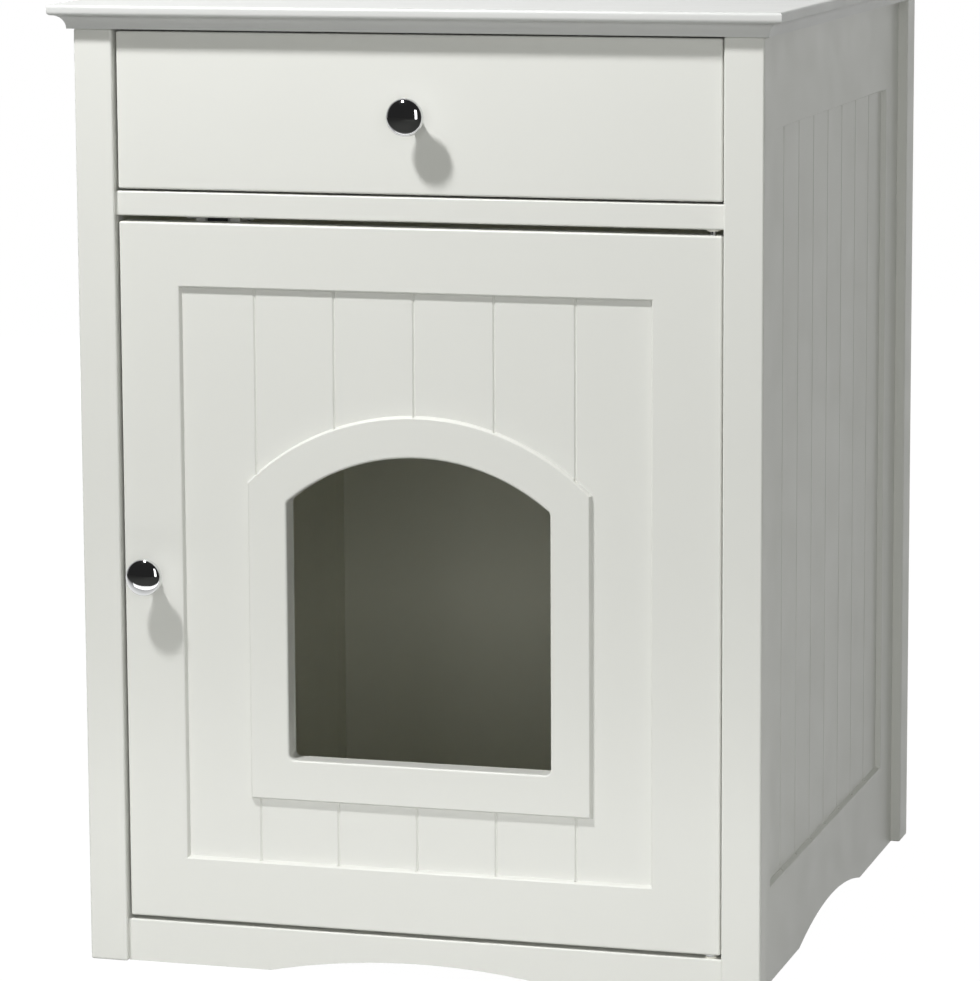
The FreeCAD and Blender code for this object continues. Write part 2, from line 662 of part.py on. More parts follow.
def roller(start, direction):
    """Nylon roller whose near side is at start."""
    rim = ROLLER_R - ROLLER_CHAMFER
    body = turned([(0, rim), (ROLLER_CHAMFER, ROLLER_R), (ROLLER_W - ROLLER_CHAMFER, ROLLER_R),
                   (ROLLER_W, rim)], start, direction)
    return body.cut(rod(AXLE_R + RUNNING_FIT, start, direction, ROLLER_W))


def roller_rivet(start, direction):
    """Rivet through the sheet at start, with the roller's axle and its head."""
    flange = SLIDE_T + RIVET_FLANGE_T
    head = flange + ROLLER_W + 2 * ROLLER_END_PLAY
    return turned([(0, RIVET_NECK_R), (SLIDE_T, RIVET_NECK_R), (SLIDE_T, RIVET_FLANGE_R),
                   (flange, RIVET_FLANGE_R), (flange, AXLE_R), (head, AXLE_R),
                   (head, RIVET_FLANGE_R), (head + RIVET_HEAD_T, RIVET_FLANGE_R)], start, direction)


def cabinet_roller():
    start = V(-BAY_X + SLIDE_T + RIVET_FLANGE_T + ROLLER_END_PLAY, CABINET_ROLLER_Y, ROLLER_Z)
    return roller(start, RIGHT)


def drawer_roller():
    start = V(-BOX_X - SLIDE_T - RIVET_FLANGE_T - ROLLER_END_PLAY, DRAWER_ROLLER_Y, ROLLER_Z)
    return roller(start, RIGHT * -1)


# drawer

def drawer_bottom_slot():
    """Cutter for the grooves that hold the drawer bottom."""
    half = BOX_IN_X + DRAWER_GROOVE_D
    return box(-half, half, FACE_BACK_Y - DRAWER_GROOVE_D, BOX_Y1 + 1, BOX_BOTTOM_Z,
               BOX_BOTTOM_Z + DRAWER_BOTTOM_T + DRAWER_GROOVE_PLAY)


def face_board(z0, z1):
    board = box(-FACE_X, FACE_X, FACE_Y, FACE_BACK_Y, z0, z1)
    return board.makeFillet(FACE_EDGE_R, board.Edges)


def drawer_front():
    return face_board(DRAWER_Z0, DRAWER_Z1).cut(drawer_bottom_slot())


def drawer_side():
    side = box(-BOX_X, -BOX_IN_X, FACE_BACK_Y, BOX_Y1, BOX_Z0, BOX_Z1)
    return side.cut(drawer_bottom_slot())


def drawer_back():
    low = BOX_BOTTOM_Z + DRAWER_BOTTOM_T + DRAWER_GROOVE_PLAY
    return box(-BOX_IN_X, BOX_IN_X, BOX_BACK_Y, BOX_BACK_Y + DRAWER_BACK_T, low,
               BOX_Z1 - DRAWER_BACK_LOW)


def drawer_bottom():
    half = BOX_IN_X + DRAWER_GROOVE_D - REBATE_PLAY
    return box(-half, half, FACE_BACK_Y - DRAWER_GROOVE_D + REBATE_PLAY,
               BOX_BACK_Y + DRAWER_BACK_T, BOX_BOTTOM_Z, BOX_BOTTOM_Z + DRAWER_BOTTOM_T)


def knob(place):
    """Chrome knob turned from one piece, standing on the face at place."""
    curve = Part.BSplineCurve()
    curve.interpolate([V(radius, 0, out) for radius, out in KNOB_PROFILE],
                      InitialTangent=UP, FinalTangent=RIGHT * -1)
    tip = V(0, 0, KNOB_L)
    foot = V(KNOB_PROFILE[0][0], 0, 0)
    outline = Part.Wire([Part.makeLine(V(0, 0, 0), foot), curve.toShape(),
                         Part.makeLine(tip, V(0, 0, 0))])
    body = Part.Face(outline).revolve(V(0, 0, 0), UP, 360)
    body = body.cut(rod(KNOB_SCREW_R + HOLE_PLAY, V(0, 0, 0), UP, KNOB_BORE))
    body.Placement = FreeCAD.Placement(place, FreeCAD.Rotation(UP, BACK * -1))
    return body


# door

def arch_wire(grow, y):
    """Outline of the arched opening grown by an amount, at depth y."""
    half = ARCH_W / 2 + grow
    radius = ARCH_R + grow
    foot_grow = grow * SURROUND_FOOT / SURROUND_W
    foot = DOOR_Z0 + ARCH_SILL - foot_grow
    spring = ARCH_CENTRE_Z + math.sqrt(radius * radius - half * half)
    arc = Part.Arc(V(half, y, spring), V(0, y, ARCH_CENTRE_Z + radius), V(-half, y, spring))
    return Part.Wire([Part.makeLine(V(-half, y, spring), V(-half, y, foot)),
                      Part.makeLine(V(-half, y, foot), V(half, y, foot)),
                      Part.makeLine(V(half, y, foot), V(half, y, spring)), arc.toShape()])


def doorway():
    """Cutter for the cat doorway, with rounded corners."""
    cutter = Part.Face(arch_wire(0, FACE_Y - 1)).extrude(BACK * (FACE_T + 2))
    return softened(cutter, ARCH_CORNER_R, lambda b: b.YLength > FACE_T)


def door_grooves():
    """Grooves above and below the arched surround."""
    floor = FACE_Y + DOOR_FIELD_DEPTH
    middle = (DOOR_GROOVES - 1) / 2
    end = FIELD_BEVEL - GROOVE_OVERRUN
    cuts = []
    for k in range(DOOR_GROOVES):
        x = DOOR_GROOVE_SHIFT + (k - middle) * DOOR_GROOVE_PITCH
        radius = ARCH_R + SURROUND_W + end
        over = ARCH_CENTRE_Z + math.sqrt(radius * radius - x * x)
        under = DOOR_Z0 + ARCH_SILL - SURROUND_FOOT - end
        cuts.append(groove(x, floor, over, FIELD_Z1 - end))
        cuts.append(groove(x, floor, FIELD_Z0 + end, under))
    return cuts


def door_panel():
    """Door routed from one board: field, grooves, flush arched surround and doorway."""
    pocket = field_pocket(FIELD_X0, FIELD_X1, FIELD_Z0, FIELD_Z1, FACE_Y, DOOR_FIELD_DEPTH)
    surround = Part.makeLoft([arch_wire(SURROUND_W, FACE_Y),
                              arch_wire(SURROUND_W + FIELD_BEVEL, FACE_Y + DOOR_FIELD_DEPTH)],
                             True, True)
    door = face_board(DOOR_Z0, DOOR_Z1).cut(pocket.cut(surround))
    half = ARCH_W / 2 + SURROUND_W
    door = softened(door, SURROUND_EDGE_R, lambda b: on_face(b, FACE_Y) and inside(b, -half, half)
                    and b.ZMin > FIELD_Z0 and b.ZMax < FIELD_Z1)
    door = door.cut(doorway())
    half = ARCH_W / 2
    door = softened(door, ARCH_EDGE_R, lambda b: on_face(b, FACE_Y) and inside(b, -half, half)
                    and b.ZMin > DOOR_Z0 + ARCH_SILL - 0.1 and b.ZMax < DOOR_Z0 + ARCH_APEX + 0.1)
    return door.cut(door_grooves())


def pivot_pin(low, high):
    """Steel pin with chamfered ends, and its hole in the door."""
    profile = [(0, PIN_R * 0.75), (PIN_R * 0.25, PIN_R), (high - low - PIN_R * 0.25, PIN_R),
               (high - low, PIN_R * 0.75)]
    hole = rod(PIN_R + RUNNING_FIT, V(PIVOT_X, PIVOT_Y, low), UP, high - low)
    return turned(profile, V(PIVOT_X, PIVOT_Y, low), UP), hole


def pivot_washer():
    height = DOOR_FOOT_GAP - BUSH_FLANGE_T - PIVOT_END_PLAY
    base = V(PIVOT_X, PIVOT_Y, DOOR_Z0 - height)
    washer = rod(BUSH_FLANGE_R, base, UP, height)
    return washer.cut(rod(PIN_R + RUNNING_FIT, base, UP, height))


def strike_plate():
    half = STRIKE_W / 2
    return box(CATCH_X - half, CATCH_X + half, FACE_BACK_Y, FACE_BACK_Y + STRIKE_T,
               STRIKE_Z1 - STRIKE_H, STRIKE_Z1)


def flat(lists):
    return [item for entry in lists for item in entry]


def build_cabinet():
    dowels = carcass_dowels()
    cams = carcass_cams()
    screws = back_screws()
    slide_screws = slide_cabinet_screws()
    holders = catch_screws()
    bush_top, hole_top = pivot_bush(RAIL_Z0, UP)
    bush_foot, hole_foot = pivot_bush(APRON_H, UP * -1)
    cutters = [hole for _, hole in dowels] + flat(fit[2] for fit in cams)
    cutters += flat(hole for _, hole in screws + slide_screws + holders) + [hole_top, hole_foot]
    pairs = {"side_panel": side_panel(), "front_post": front_post(), "rear_post": rear_post(),
             "slide_packing": slide_packing(), "slide_cabinet_member": slide_cabinet_member()}
    for name, left in pairs.items():
        save(name + "_left", drilled(left, cutters))
        save(name + "_right", drilled(mirrored(left), cutters))
    singles = {"top_panel": top_panel(), "back_panel": back_panel(), "bottom_panel": bottom_panel(),
               "mid_rail": mid_rail(), "front_apron": front_apron(), "rear_rail": rear_rail(),
               "catch_housing": catch_housing()}
    for name, shape in singles.items():
        save(name, drilled(shape, cutters))
    rivet = roller_rivet(V(-BAY_X, CABINET_ROLLER_Y, ROLLER_Z), RIGHT)
    save("cabinet_roller_rivets", [rivet, mirrored(rivet)])
    save("slide_cabinet_screws", [solid for solid, _ in slide_screws])
    save("cam_housings", [fit[0] for fit in cams])
    save("cam_bolts", [fit[1] for fit in cams])
    save("wood_dowels", [solid for solid, _ in dowels])
    save("back_panel_screws", [solid for solid, _ in screws])
    save("pivot_bush_top", bush_top)
    save("pivot_bush_bottom", bush_foot)
    save("catch_magnet", catch_magnet())
    save("catch_screws", [solid for solid, _ in holders])


def build_rollers():
    save("cabinet_roller_left", cabinet_roller())
    save("cabinet_roller_right", mirrored(cabinet_roller()))
    save("drawer_roller_left", drawer_roller())
    save("drawer_roller_right", mirrored(drawer_roller()))


def build_drawer():
    dowels = drawer_dowels()
    cams = drawer_cams()
    corner_screws = drawer_screws()
    slide_screws = slide_drawer_screws()
    handle_screw, handle_holes = knob_screw(DRAWER_KNOB)
    cutters = [hole for _, hole in dowels] + flat(fit[2] for fit in cams) + handle_holes
    cutters += flat(hole for _, hole in corner_screws + slide_screws)
    for name, left in {"drawer_side": drawer_side(), "slide_drawer_member": slide_drawer_member()}.items():
        save(name + "_left", drilled(left, cutters))
        save(name + "_right", drilled(mirrored(left), cutters))
    for name, shape in {"drawer_front": drawer_front(), "drawer_back": drawer_back()}.items():
        save(name, drilled(shape, cutters))
    save("drawer_bottom", drawer_bottom())
    save("drawer_knob", knob(DRAWER_KNOB))
    save("drawer_knob_screw", handle_screw)
    rivet = roller_rivet(V(-BOX_X, DRAWER_ROLLER_Y, ROLLER_Z), RIGHT * -1)
    save("drawer_roller_rivets", [rivet, mirrored(rivet)])
    save("slide_drawer_screws", [solid for solid, _ in slide_screws])
    save("drawer_cam_housings", [fit[0] for fit in cams])
    save("drawer_cam_bolts", [fit[1] for fit in cams])
    save("drawer_dowels", [solid for solid, _ in dowels])
    save("drawer_screws", [solid for solid, _ in corner_screws])


def build_door():
    reach = BUSH_L - PIN_TIP_GAP
    pin_top, hole_top = pivot_pin(DOOR_Z1 - PIN_IN_DOOR, RAIL_Z0 + reach)
    pin_foot, hole_foot = pivot_pin(APRON_H - reach, DOOR_Z0 + PIN_IN_DOOR)
    handle_screw, handle_holes = knob_screw(DOOR_KNOB)
    plate_screws = strike_screws()
    cutters = [hole_top, hole_foot] + handle_holes + flat(hole for _, hole in plate_screws)
    save("door_panel", drilled(door_panel(), cutters))
    save("door_knob", knob(DOOR_KNOB))
    save("door_knob_screw", handle_screw)
    save("pivot_pin_top", pin_top)
    save("pivot_pin_bottom", pin_foot)
    save("pivot_washer", pivot_washer())
    save("strike_plate", drilled(strike_plate(), cutters))
    save("strike_plate_screws", [solid for solid, _ in plate_screws])


os.makedirs("parts", exist_ok=True)
build_cabinet()
build_rollers()
build_drawer()
build_door()
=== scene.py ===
import math

import bpy
from mathutils import Matrix, Vector


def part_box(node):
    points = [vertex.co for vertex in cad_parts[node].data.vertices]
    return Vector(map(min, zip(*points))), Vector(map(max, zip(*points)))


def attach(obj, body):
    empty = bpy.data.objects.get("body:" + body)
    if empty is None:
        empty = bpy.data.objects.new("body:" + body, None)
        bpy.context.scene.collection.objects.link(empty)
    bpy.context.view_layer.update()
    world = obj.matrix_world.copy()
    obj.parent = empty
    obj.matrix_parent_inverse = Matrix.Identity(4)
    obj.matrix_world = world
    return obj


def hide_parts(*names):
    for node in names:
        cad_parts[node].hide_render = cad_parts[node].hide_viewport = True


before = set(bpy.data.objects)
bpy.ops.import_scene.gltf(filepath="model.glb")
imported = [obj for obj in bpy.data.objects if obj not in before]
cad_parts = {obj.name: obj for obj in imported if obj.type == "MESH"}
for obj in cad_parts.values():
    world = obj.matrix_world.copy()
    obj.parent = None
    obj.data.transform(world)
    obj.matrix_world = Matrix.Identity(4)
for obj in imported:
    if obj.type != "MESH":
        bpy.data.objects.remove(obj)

bl_info = {
    "name": "Cat litter box cabinet",
    "version": (1, 0, 0),
    "blender": (4, 5, 0),
    "location": "View3D > Sidebar > Cabinet",
    "description": "Finishes, moulded top, knobs, screws and studio for a cat litter box cabinet",
    "category": "Add Mesh",
}

MM = 0.001
SMOOTH_BELOW = math.radians(35)

# What wears which finish. The top board, the knobs and the screws are modelled further down.
PAINTED_BOARDS = [
    "side_panel_left", "side_panel_right", "front_post_left", "front_post_right",
    "rear_post_left", "rear_post_right", "bottom_panel", "mid_rail", "front_apron", "rear_rail",
    "slide_packing_left", "slide_packing_right", "drawer_front", "door_panel",
]
DRAWER_BOARDS = ["drawer_side_left", "drawer_side_right", "drawer_back"]
SLIDES = ["slide_cabinet_member_left", "slide_cabinet_member_right",
          "slide_drawer_member_left", "slide_drawer_member_right"]
NYLON_PIECES = ["cabinet_roller_left", "cabinet_roller_right", "drawer_roller_left",
                "drawer_roller_right", "pivot_bush_top", "pivot_bush_bottom"]
STEEL_PIECES = ["cabinet_roller_rivets", "drawer_roller_rivets", "cam_bolts", "drawer_cam_bolts",
                "pivot_pin_top", "pivot_pin_bottom", "pivot_washer", "strike_plate"]

# Each screw node: its body, the way its heads face, the head's height and the shank's radius
# in mm. "in" and "out" are towards and away from the cabinet's middle plane.
SCREW_NODES = {
    "back_panel_screws": ("cabinet", (0, 1, 0), 1.6, 1.4),
    "catch_screws": ("cabinet", (0, 0, -1), 1.5, 1.5),
    "slide_cabinet_screws": ("cabinet", "in", 0.7, 1.6),
    "slide_drawer_screws": ("drawer", (0, 0, -1), 0.8, 1.5),
    "drawer_screws": ("drawer", "out", 2.0, 1.8),
    "drawer_knob_screw": ("drawer", (0, 1, 0), 2.4, 2.0),
    "door_knob_screw": ("door", (0, 1, 0), 2.4, 2.0),
    "strike_plate_screws": ("door", (0, 1, 0), 1.0, 1.4),
}


# sizes and colours a user may change

class PaintSettings(bpy.types.PropertyGroup):
    colour: bpy.props.FloatVectorProperty(
        name="Paint colour", description="Colour of the satin paint on the boards",
        default=(0.790, 0.792, 0.757), size=3, min=0, max=1, subtype="COLOR")
    # Painted shade: the faces inside get a yellower, slightly darker colour for the olive shade
    # inside the cabinet.
    inside_shade_colour: bpy.props.FloatVectorProperty(
        name="Inner coat", description="Colour of the warmer coat on the faces inside",
        default=(0.775, 0.780, 0.665), size=3, min=0, max=1, subtype="COLOR")
    # Painted shade and colour of light: the top board's paint is darker, cooler and greyer than the
    # other boards', for how the light falls on the top.
    top_board_shade_colour: bpy.props.FloatVectorProperty(
        name="Top board colour", description="Colour of the top board, a little cooler and greyer",
        default=(0.705, 0.709, 0.702), size=3, min=0, max=1, subtype="COLOR")
    roughness: bpy.props.FloatProperty(
        name="Sheen", description="Roughness of the satin paint", default=0.36, min=0, max=1,
        subtype="FACTOR")
    orange_peel: bpy.props.FloatProperty(
        name="Orange peel", description="Depth of the sprayed paint's ripple", default=0.00004,
        min=0, max=0.001, unit="LENGTH", precision=5)
    hardboard: bpy.props.FloatVectorProperty(
        name="Hardboard colour", description="Colour of the raw side of the hardboard sheets",
        default=(0.235, 0.150, 0.085), size=3, min=0, max=1, subtype="COLOR")


class FittingSettings(bpy.types.PropertyGroup):
    chrome_roughness: bpy.props.FloatProperty(
        name="Chrome polish", description="Roughness of the plated knobs", default=0.045, min=0,
        max=1, subtype="FACTOR")
    knob_sides: bpy.props.IntProperty(
        name="Knob sides", description="Steps round each knob before smoothing", default=40,
        min=12, max=96)
    recess: bpy.props.FloatProperty(
        name="Screw recess", description="Width of the cross in a screw head as a share of it",
        default=0.58, min=0.2, max=0.8, subtype="FACTOR")


class StageSettings(bpy.types.PropertyGroup):
    key_power: bpy.props.FloatProperty(
        name="Key lamp", description="Power of the small lamp high on the left", default=21.0,
        min=0, unit="POWER")
    front_power: bpy.props.FloatProperty(
        name="Front fill", description="Power of the large softbox behind the camera",
        default=24.0, min=0, unit="POWER")
    side_power: bpy.props.FloatProperty(
        name="Side fill", description="Power of the tall softbox to the right of the camera",
        default=6.0, min=0, unit="POWER")
    rear_power: bpy.props.FloatProperty(
        name="Rear fill", description="Power of the softbox behind the cabinet on the left",
        default=50.0, min=0, unit="POWER")
    right_power: bpy.props.FloatProperty(
        name="Right fill", description="Power of the softbox on the right, level with the back",
        default=3.5, min=0, unit="POWER")
    card_power: bpy.props.FloatProperty(
        name="Low card", description="Power of the low white card in front", default=0.36,
        min=0, unit="POWER")
    fill: bpy.props.FloatProperty(
        name="Room light", description="Strength of the light that comes from all around",
        default=0.17, min=0, max=1)
    lens: bpy.props.FloatProperty(
        name="Lens", description="Focal length on a 36 mm wide sensor, in millimetres",
        default=165.3, min=10)


# helpers

def clear_selection():
    """Leave edit mode with nothing selected."""
    if bpy.context.mode != "OBJECT":
        bpy.ops.object.mode_set(mode="OBJECT")
    bpy.ops.object.select_all(action="DESELECT")


def settle(piece, name, body):
    """Bake the piece's place into its mesh, name it and let it ride."""
    clear_selection()
    piece.select_set(True)
    bpy.context.view_layer.objects.active = piece
    bpy.ops.object.transform_apply(location=True, rotation=True, scale=True)
    piece.name = name
    piece.data.name = name
    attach(piece, body)


def place_along(piece, start, direction):
    """Turn a piece built along +Z so that it runs along direction from start."""
    turn = Vector((0, 0, 1)).rotation_difference(Vector(direction)).to_matrix().to_4x4()
    piece.matrix_world = Matrix.Translation(Vector(start)) @ turn


def new_finish(name):
    """Material with a Principled shader and Object coordinates."""
    material = bpy.data.materials.new(name)
    material.use_nodes = True
    nodes = material.node_tree.nodes
    where = nodes.new("ShaderNodeTexCoord")
    return material, nodes, material.node_tree.links, nodes["Principled BSDF"], where


def noise(nodes, links, where, scale, detail):
    """Value of a noise on Object coordinates; scale is cycles to the metre."""
    texture = nodes.new("ShaderNodeTexNoise")
    texture.inputs["Scale"].default_value = scale
    texture.inputs["Detail"].default_value = detail
    links.new(where.outputs["Object"], texture.inputs["Vector"])
    return texture.outputs["Fac"]


def blend_colours(nodes, links, factor, low, high):
    """Colour between low and high, by a value from 0 to 1."""
    mix = nodes.new("ShaderNodeMix")
    mix.data_type = "RGBA"
    mix.inputs["A"].default_value = (*low, 1)
    mix.inputs["B"].default_value = (*high, 1)
    links.new(factor, mix.inputs["Factor"])
    return mix.outputs["Result"]


# Most of a noise lies between these two values.
NOISE_LOW, NOISE_HIGH = 0.3, 0.7


def spread(nodes, links, value, low, high):
    """Map a noise, or a value that is 0 or 1, to a range and hold it there."""
    mapped = nodes.new("ShaderNodeMapRange")
    mapped.inputs["From Min"].default_value = NOISE_LOW
    mapped.inputs["From Max"].default_value = NOISE_HIGH
    mapped.inputs["To Min"].default_value = low
    mapped.inputs["To Max"].default_value = high
    links.new(value, mapped.inputs["Value"])
    return mapped.outputs["Result"]


def bump(nodes, links, shader, height, depth, strength):
    """Raise the surface by a height from 0 to 1; depth is in metres."""
    node = nodes.new("ShaderNodeBump")
    node.inputs["Strength"].default_value = strength
    node.inputs["Distance"].default_value = depth
    links.new(height, node.inputs["Height"])
    links.new(node.outputs["Normal"], shader.inputs["Normal"])


def shade(colour, factor):
    """The colour, lighter or darker by a factor."""
    return tuple(channel * factor for channel in colour)


def give_finish(names, material):
    """Give CAD nodes one material."""
    for name in names:
        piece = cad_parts[name]
        piece.data.materials.clear()
        piece.data.materials.append(material)


def solid_boxes(name):
    """Boxes of a CAD node's separate solids, found by the corners its triangles share."""
    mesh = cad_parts[name].data
    owner = {}
    parent = list(range(len(mesh.polygons)))

    def root(k):
        while parent[k] != k:
            parent[k] = parent[parent[k]]
            k = parent[k]
        return k

    for face in mesh.polygons:
        for corner in face.vertices:
            key = tuple(round(v, 5) for v in mesh.vertices[corner].co)
            other = owner.setdefault(key, face.index)
            parent[root(face.index)] = root(other)
    groups = {}
    for face in mesh.polygons:
        groups.setdefault(root(face.index), []).extend(face.vertices)
    boxes = []
    for corners in groups.values():
        points = [mesh.vertices[c].co for c in corners]
        low = Vector([min(p[axis] for p in points) for axis in range(3)])
        high = Vector([max(p[axis] for p in points) for axis in range(3)])
        boxes.append((low, high))
    return boxes


# finishes

# The paint's slow change of tone, and how much darker and coarser it is on the drawer's boards.
PAINT_TONE = (0.985, 1.01)
DRAWER_SHADE, DRAWER_COARSE = 0.985, 1.4
# How far the space of the painted inside shade reaches into the boards, so that it takes in their
# faces.
SKIN = 0.5 * MM
# Hardboard sheets: how deep the raw side reaches, how much darker than the inside shade colour
# the white side is painted as painted shade, and the raw fibre's two tones.
RAW_DEPTH = 0.4 * MM
SHEET_PAINTED_SHADE = 0.9
FIBRE_TONE = (0.7, 1.35)
# Half the width of the ferrite between the catch's pole plates.
FERRITE_HALF = 7.0 * MM


def cabinet_inside():
    """Lowest and highest corner of the space between the boards, grown by SKIN into them."""
    skin = Vector((SKIN, SKIN, SKIN))
    low = Vector((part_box("side_panel_left")[1][0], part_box("door_panel")[1][1],
                  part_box("bottom_panel")[1][2]))
    high = Vector((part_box("side_panel_right")[0][0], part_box("back_panel")[0][1],
                   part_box("top_panel")[0][2]))
    return low - skin, high + skin


def inside_shade_mask(nodes, links, where):
    """1 on the faces that look into the cabinet, where the shade is painted, 0 outside."""
    low, high = cabinet_inside()
    off = nodes.new("ShaderNodeVectorMath")
    off.operation = "SUBTRACT"
    links.new(where.outputs["Object"], off.inputs[0])
    off.inputs[1].default_value = (low + high) / 2
    distance = nodes.new("ShaderNodeVectorMath")
    distance.operation = "ABSOLUTE"
    links.new(off.outputs["Vector"], distance.inputs[0])
    parts = nodes.new("ShaderNodeSeparateXYZ")
    links.new(distance.outputs["Vector"], parts.inputs["Vector"])
    both = None
    for axis, half in zip("XYZ", (high - low) / 2):
        within = nodes.new("ShaderNodeMath")
        within.operation = "LESS_THAN"
        links.new(parts.outputs[axis], within.inputs[0])
        within.inputs[1].default_value = half
        if both is None:
            both = within.outputs["Value"]
            continue
        product = nodes.new("ShaderNodeMath")
        product.operation = "MULTIPLY"
        links.new(both, product.inputs[0])
        links.new(within.outputs["Value"], product.inputs[1])
        both = product.outputs["Value"]
    return both


def satin_paint(name, settings, colour, coarse=1.0, inner=None):
    """Sprayed satin paint on fibreboard, with painted shade, a yellower and darker colour, where a
    board faces the inside.
    """
    material, nodes, links, shader, where = new_finish(name)
    broad = noise(nodes, links, where, 4.0, 2.0)
    tone = blend_colours(nodes, links, broad, *[shade(colour, factor) for factor in PAINT_TONE])
    if inner:
        # Painted shade: the faces inside take the inside shade colour.
        coat = nodes.new("ShaderNodeMix")
        coat.data_type = "RGBA"
        links.new(inside_shade_mask(nodes, links, where), coat.inputs["Factor"])
        links.new(tone, coat.inputs["A"])
        coat.inputs["B"].default_value = (*inner, 1)
        tone = coat.outputs["Result"]
    links.new(tone, shader.inputs["Base Color"])
    worn = noise(nodes, links, where, 35.0, 4.0)
    links.new(spread(nodes, links, worn, settings.roughness - 0.03,
                     settings.roughness + 0.05), shader.inputs["Roughness"])
    peel = noise(nodes, links, where, 420.0 / coarse, 2.0)
    bump(nodes, links, shader, peel, settings.orange_peel * coarse, 0.6)
    return material


def hardboard_sheet(name, settings, level, raw_above, axis):
    """White on one face, in painted shade darker than the inside shade colour, raw brown fibre on the
    other, split at a coordinate.
    """
    material, nodes, links, shader, where = new_finish(name)
    fibre = noise(nodes, links, where, 260.0, 6.0)
    brown = blend_colours(nodes, links, fibre,
                          *[shade(settings.hardboard, factor) for factor in FIBRE_TONE])
    parts = nodes.new("ShaderNodeSeparateXYZ")
    links.new(where.outputs["Object"], parts.inputs["Vector"])
    side = nodes.new("ShaderNodeMath")
    side.operation = "GREATER_THAN" if raw_above else "LESS_THAN"
    links.new(parts.outputs[axis], side.inputs[0])
    side.inputs[1].default_value = level
    mix = nodes.new("ShaderNodeMix")
    mix.data_type = "RGBA"
    # Painted shade: the white face is the inside shade colour, darker still.
    mix.inputs["A"].default_value = (*shade(settings.inside_shade_colour, SHEET_PAINTED_SHADE), 1)
    links.new(side.outputs["Value"], mix.inputs["Factor"])
    links.new(brown, mix.inputs["B"])
    links.new(mix.outputs["Result"], shader.inputs["Base Color"])
    links.new(spread(nodes, links, side.outputs["Value"], 0.45, 0.8), shader.inputs["Roughness"])
    bump(nodes, links, shader, fibre, 0.0001, 0.5)
    return material


def plated_chrome(name, settings):
    """Polished chrome plate with faint smudges."""
    material, nodes, links, shader, where = new_finish(name)
    shader.inputs["Metallic"].default_value = 1.0
    smudge = noise(nodes, links, where, 160.0, 3.0)
    links.new(blend_colours(nodes, links, smudge, (0.77, 0.78, 0.79), (0.82, 0.82, 0.82)),
              shader.inputs["Base Color"])
    links.new(spread(nodes, links, smudge, settings.chrome_roughness * 0.6,
                     settings.chrome_roughness * 1.6), shader.inputs["Roughness"])
    return material


def zinc_steel(name, low, high, roughness):
    """Zinc plated or cast metal with a fine spangle between two greys."""
    material, nodes, links, shader, where = new_finish(name)
    shader.inputs["Metallic"].default_value = 1.0
    spangle = noise(nodes, links, where, 500.0, 4.0)
    links.new(blend_colours(nodes, links, spangle, low, high),
              shader.inputs["Base Color"])
    links.new(spread(nodes, links, spangle, roughness - 0.06, roughness + 0.08),
              shader.inputs["Roughness"])
    bump(nodes, links, shader, spangle, 0.00002, 0.4)
    return material


def moulded_plastic(name, colour, roughness, grain):
    """Plain plastic or epoxy coat; grain is the surface's cycles to the metre."""
    material, nodes, links, shader, where = new_finish(name)
    cloud = noise(nodes, links, where, 90.0, 2.0)
    links.new(blend_colours(nodes, links, cloud, shade(colour, 0.95), shade(colour, 1.03)),
              shader.inputs["Base Color"])
    fine = noise(nodes, links, where, grain, 2.0)
    links.new(spread(nodes, links, fine, roughness - 0.05, roughness + 0.06),
              shader.inputs["Roughness"])
    bump(nodes, links, shader, fine, 0.00002, 0.5)
    return material


def beech_wood(name):
    """Raw beech of the dowels."""
    material, nodes, links, shader, where = new_finish(name)
    grain = noise(nodes, links, where, 220.0, 8.0)
    links.new(blend_colours(nodes, links, grain, (0.42, 0.26, 0.13), (0.66, 0.46, 0.27)),
              shader.inputs["Base Color"])
    shader.inputs["Roughness"].default_value = 0.6
    bump(nodes, links, shader, grain, 0.00005, 0.5)
    return material


def ferrite_between_poles(name):
    """Dark ferrite in the middle of the catch, steel plates on its two sides."""
    material, nodes, links, shader, where = new_finish(name)
    low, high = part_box("catch_magnet")
    middle = (low[0] + high[0]) / 2
    parts = nodes.new("ShaderNodeSeparateXYZ")
    links.new(where.outputs["Object"], parts.inputs["Vector"])
    off = nodes.new("ShaderNodeMath")
    off.operation = "SUBTRACT"
    links.new(parts.outputs["X"], off.inputs[0])
    off.inputs[1].default_value = middle
    distance = nodes.new("ShaderNodeMath")
    distance.operation = "ABSOLUTE"
    links.new(off.outputs["Value"], distance.inputs[0])
    plate = nodes.new("ShaderNodeMath")
    plate.operation = "GREATER_THAN"
    links.new(distance.outputs["Value"], plate.inputs[0])
    plate.inputs[1].default_value = FERRITE_HALF
    links.new(blend_colours(nodes, links, plate.outputs["Value"], (0.03, 0.03, 0.032),
                            (0.55, 0.55, 0.56)), shader.inputs["Base Color"])
    links.new(plate.outputs["Value"], shader.inputs["Metallic"])
    grit = noise(nodes, links, where, 600.0, 3.0)
    links.new(spread(nodes, links, grit, 0.35, 0.55), shader.inputs["Roughness"])
    return material


# pieces

